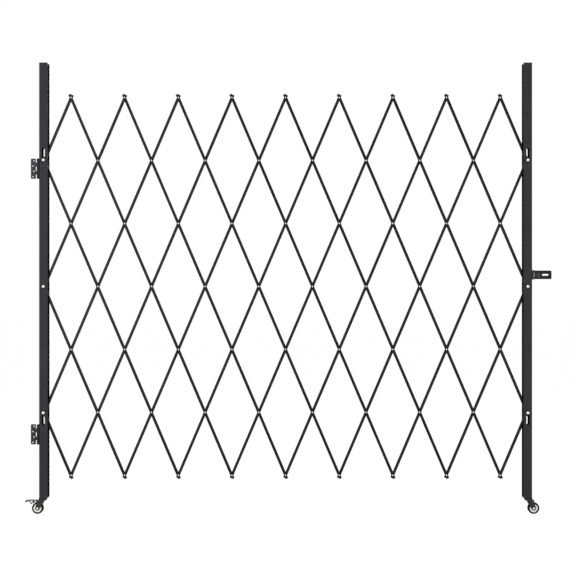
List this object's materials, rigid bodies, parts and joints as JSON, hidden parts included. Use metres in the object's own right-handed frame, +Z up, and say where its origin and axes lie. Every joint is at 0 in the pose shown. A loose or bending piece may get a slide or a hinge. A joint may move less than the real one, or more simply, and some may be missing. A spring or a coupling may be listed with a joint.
{
  "type": "expandable safety barrier",
  "caption": "Folding lattice gate of riveted steel bars between two channel posts on casters, with wall hinges on one side and a swinging hasp on the other.",
  "frame": {"origin": "on the floor under the middle of the spread gate's box, brake lever and hasp strap included", "axes": "+X along the spread gate towards the hasp, -Y the front, the side that shows the bolt heads and screw holes, +Z up"},
  "size_m": [2.3176, 0.0532, 1.988],
  "materials": {
    "post_coat": "black powder coat, satin",
    "bar_coat": "black powder coat, satin",
    "hardware_coat": "black coat on pressed steel, satin",
    "zinc": "bright zinc plate",
    "tyre": "black moulded rubber, matt",
    "hub": "white moulded plastic"
  },
  "bodies": {
    "wall_side": {"hinge_wall_leaves": "hardware_coat", "hinge_pins": "zinc"},
    "left_post": {"left_post": "post_coat", "hinge_post_leaves": "hardware_coat", "left_post_fasteners": "zinc", "left_caster_stem": "hardware_coat"},
    "rising_01": {"rising_bar_01": "bar_coat", "rivets_01": "zinc", "upper_left_slide_bolt": "zinc"},
    "rising_02": {"rising_bar_02": "bar_coat", "rivets_02": "zinc"},
    "rising_03": {"rising_bar_03": "bar_coat", "rivets_03": "zinc", "lower_left_slide_bolt": "zinc"},
    "rising_04": {"rising_bar_04": "bar_coat", "rivets_04": "zinc"},
    "rising_05": {"rising_bar_05": "bar_coat", "rivets_05": "zinc"},
    "rising_06": {"rising_bar_06": "bar_coat", "rivets_06": "zinc"},
    "rising_07": {"rising_bar_07": "bar_coat", "rivets_07": "zinc"},
    "rising_08": {"rising_bar_08": "bar_coat", "rivets_08": "zinc"},
    "rising_09": {"rising_bar_09": "bar_coat", "rivets_09": "zinc"},
    "rising_10": {"rising_bar_10": "bar_coat", "rivets_10": "zinc", "upper_right_slide_bolt": "zinc"},
    "rising_11": {"rising_bar_11": "bar_coat", "rivets_11": "zinc"},
    "rising_12": {"rising_bar_12": "bar_coat", "rivets_12": "zinc", "lower_right_slide_bolt": "zinc"},
    "falling_01": {"falling_bar_01": "bar_coat"},
    "falling_02": {"falling_bar_02": "bar_coat"},
    "falling_03": {"falling_bar_03": "bar_coat"},
    "falling_04": {"falling_bar_04": "bar_coat"},
    "falling_05": {"falling_bar_05": "bar_coat"},
    "falling_06": {"falling_bar_06": "bar_coat"},
    "falling_07": {"falling_bar_07": "bar_coat"},
    "falling_08": {"falling_bar_08": "bar_coat"},
    "falling_09": {"falling_bar_09": "bar_coat"},
    "falling_10": {"falling_bar_10": "bar_coat"},
    "falling_11": {"falling_bar_11": "bar_coat"},
    "falling_12": {"falling_bar_12": "bar_coat"},
    "right_post": {"right_post": "post_coat", "right_post_fasteners": "zinc", "hasp_base": "hardware_coat", "right_caster_stem": "hardware_coat"},
    "hasp": {"hasp_strap": "hardware_coat"},
    "left_fork": {"left_caster_fork": "hardware_coat", "left_caster_axle": "zinc"},
    "left_wheel": {"left_caster_tyre": "tyre", "left_caster_hub": "hub"},
    "brake_lever": {"left_caster_brake_lever": "hardware_coat"},
    "right_fork": {"right_caster_fork": "hardware_coat", "right_caster_axle": "zinc"},
    "right_wheel": {"right_caster_tyre": "tyre", "right_caster_hub": "hub"}
  },
  "joints": [
    {"name": "gate_swing", "type": "hinge", "parent": "wall_side", "child": "left_post", "pos_m": [-1.1017, -0.02, 0.9366], "axis": [0, 0, -1], "range_deg": [0, 170]},
    {"name": "fold", "type": "hinge", "parent": "left_post", "child": "rising_02", "pos_m": [-1.0773, 0, 1.0031], "axis": [0, 1, 0], "range_deg": [-20.6, 0]},
    {"name": "falling_02_turn", "type": "hinge", "parent": "left_post", "child": "falling_02", "pos_m": [-1.0773, 0, 1.0031], "axis": [0, 1, 0], "range_deg": [0, 20.7]},
    {"name": "falling_03_turn", "type": "hinge", "parent": "rising_02", "child": "falling_03", "pos_m": [-0.9589, 0, 1.2811], "axis": [0, 1, 0], "range_deg": [0, 41.3]},
    {"name": "falling_04_turn", "type": "hinge", "parent": "rising_02", "child": "falling_04", "pos_m": [-0.8405, 0, 1.5591], "axis": [0, 1, 0], "range_deg": [0, 41.3]},
    {"name": "falling_05_turn", "type": "hinge", "parent": "rising_02", "child": "falling_05", "pos_m": [-0.7221, 0, 1.8371], "axis": [0, 1, 0], "range_deg": [0, 41.3]},
    {"name": "rising_03_turn", "type": "hinge", "parent": "falling_05", "child": "rising_03", "pos_m": [-0.6037, 0, 1.5591], "axis": [0, 1, 0], "range_deg": [-41.3, 0]},
    {"name": "rising_04_turn", "type": "hinge", "parent": "falling_05", "child": "rising_04", "pos_m": [-0.4853, 0, 1.2811], "axis": [0, 1, 0], "range_deg": [-41.3, 0]},
    {"name": "rising_05_turn", "type": "hinge", "parent": "falling_05", "child": "rising_05", "pos_m": [-0.3669, 0, 1.0031], "axis": [0, 1, 0], "range_deg": [-41.3, 0]},
    {"name": "rising_06_turn", "type": "hinge", "parent": "falling_05", "child": "rising_06", "pos_m": [-0.2485, 0, 0.7251], "axis": [0, 1, 0], "range_deg": [-41.3, 0]},
    {"name": "rising_07_turn", "type": "hinge", "parent": "falling_05", "child": "rising_07", "pos_m": [-0.1301, 0, 0.4471], "axis": [0, 1, 0], "range_deg": [-41.3, 0]},
    {"name": "rising_08_turn", "type": "hinge", "parent": "falling_05", "child": "rising_08", "pos_m": [-0.0117, 0, 0.1691], "axis": [0, 1, 0], "range_deg": [-41.3, 0]},
    {"name": "falling_06_turn", "type": "hinge", "parent": "rising_08", "child": "falling_06", "pos_m": [0.1067, 0, 0.4471], "axis": [0, 1, 0], "range_deg": [0, 41.3]},
    {"name": "falling_07_turn", "type": "hinge", "parent": "rising_08", "child": "falling_07", "pos_m": [0.2251, 0, 0.7251], "axis": [0, 1, 0], "range_deg": [0, 41.3]},
    {"name": "falling_08_turn", "type": "hinge", "parent": "rising_08", "child": "falling_08", "pos_m": [0.3435, 0, 1.0031], "axis": [0, 1, 0], "range_deg": [0, 41.3]},
    {"name": "falling_09_turn", "type": "hinge", "parent": "rising_08", "child": "falling_09", "pos_m": [0.4619, 0, 1.2811], "axis": [0, 1, 0], "range_deg": [0, 41.3]},
    {"name": "falling_10_turn", "type": "hinge", "parent": "rising_08", "child": "falling_10", "pos_m": [0.5803, 0, 1.5591], "axis": [0, 1, 0], "range_deg": [0, 41.3]},
    {"name": "falling_11_turn", "type": "hinge", "parent": "rising_08", "child": "falling_11", "pos_m": [0.6987, 0, 1.8371], "axis": [0, 1, 0], "range_deg": [0, 41.3]},
    {"name": "rising_09_turn", "type": "hinge", "parent": "falling_11", "child": "rising_09", "pos_m": [0.8171, 0, 1.5591], "axis": [0, 1, 0], "range_deg": [-41.3, 0]},
    {"name": "rising_10_turn", "type": "hinge", "parent": "falling_11", "child": "rising_10", "pos_m": [0.9355, 0, 1.2811], "axis": [0, 1, 0], "range_deg": [-41.3, 0]},
    {"name": "right_post_turn", "type": "hinge", "parent": "falling_11", "child": "right_post", "pos_m": [1.0539, 0, 1.0031], "axis": [0, 1, 0], "range_deg": [-20.7, 0]},
    {"name": "rising_11_turn", "type": "hinge", "parent": "right_post", "child": "rising_11", "pos_m": [1.0539, 0, 1.0031], "axis": [0, 1, 0], "range_deg": [-20.7, 0]},
    {"name": "rising_01_turn", "type": "hinge", "parent": "falling_03", "child": "rising_01", "pos_m": [-1.0773, 0, 1.5591], "axis": [0, 1, 0], "range_deg": [-41.3, 0]},
    {"name": "falling_01_turn", "type": "hinge", "parent": "rising_03", "child": "falling_01", "pos_m": [-1.0773, 0, 0.4471], "axis": [0, 1, 0], "range_deg": [0, 41.3]},
    {"name": "rising_12_turn", "type": "hinge", "parent": "falling_10", "child": "rising_12", "pos_m": [1.0539, 0, 0.4471], "axis": [0, 1, 0], "range_deg": [-41.3, 0]},
    {"name": "falling_12_turn", "type": "hinge", "parent": "rising_10", "child": "falling_12", "pos_m": [1.0539, 0, 1.5591], "axis": [0, 1, 0], "range_deg": [0, 41.3]},
    {"name": "hasp_swing", "type": "hinge", "parent": "right_post", "child": "hasp", "pos_m": [1.0773, -0.02, 1.0541], "axis": [0, 0, -1], "range_deg": [0, 170]},
    {"name": "left_caster_swivel", "type": "hinge", "parent": "left_post", "child": "left_fork", "pos_m": [-1.0833, 0, 0.064], "axis": [0, 0, 1], "continuous": true},
    {"name": "left_wheel_spin", "type": "hinge", "parent": "left_fork", "child": "left_wheel", "pos_m": [-1.1053, 0, 0.0254], "axis": [0, 1, 0], "continuous": true},
    {"name": "right_caster_swivel", "type": "hinge", "parent": "right_post", "child": "right_fork", "pos_m": [1.0599, 0, 0.064], "axis": [0, 0, 1], "continuous": true},
    {"name": "right_wheel_spin", "type": "hinge", "parent": "right_fork", "child": "right_wheel", "pos_m": [1.0819, 0, 0.0254], "axis": [0, 1, 0], "continuous": true},
    {"name": "brake_press", "type": "hinge", "parent": "left_fork", "child": "brake_lever", "pos_m": [-1.1133, 0, 0.055], "axis": [0, -1, 0], "range_deg": [0, 10]}
  ],
  "couplings": [
    {"joint": "falling_02_turn", "follows": "fold", "ratio": -1},
    {"joint": "falling_03_turn", "follows": "fold", "ratio": -2},
    {"joint": "falling_04_turn", "follows": "fold", "ratio": -2},
    {"joint": "falling_05_turn", "follows": "fold", "ratio": -2},
    {"joint": "rising_03_turn", "follows": "fold", "ratio": 2},
    {"joint": "rising_04_turn", "follows": "fold", "ratio": 2},
    {"joint": "rising_05_turn", "follows": "fold", "ratio": 2},
    {"joint": "rising_06_turn", "follows": "fold", "ratio": 2},
    {"joint": "rising_07_turn", "follows": "fold", "ratio": 2},
    {"joint": "rising_08_turn", "follows": "fold", "ratio": 2},
    {"joint": "falling_06_turn", "follows": "fold", "ratio": -2},
    {"joint": "falling_07_turn", "follows": "fold", "ratio": -2},
    {"joint": "falling_08_turn", "follows": "fold", "ratio": -2},
    {"joint": "falling_09_turn", "follows": "fold", "ratio": -2},
    {"joint": "falling_10_turn", "follows": "fold", "ratio": -2},
    {"joint": "falling_11_turn", "follows": "fold", "ratio": -2},
    {"joint": "rising_09_turn", "follows": "fold", "ratio": 2},
    {"joint": "rising_10_turn", "follows": "fold", "ratio": 2},
    {"joint": "right_post_turn", "follows": "fold", "ratio": 1},
    {"joint": "rising_11_turn", "follows": "fold", "ratio": 1},
    {"joint": "rising_01_turn", "follows": "fold", "ratio": 2},
    {"joint": "falling_01_turn", "follows": "fold", "ratio": -2},
    {"joint": "rising_12_turn", "follows": "fold", "ratio": 2},
    {"joint": "falling_12_turn", "follows": "fold", "ratio": -2}
  ]
}
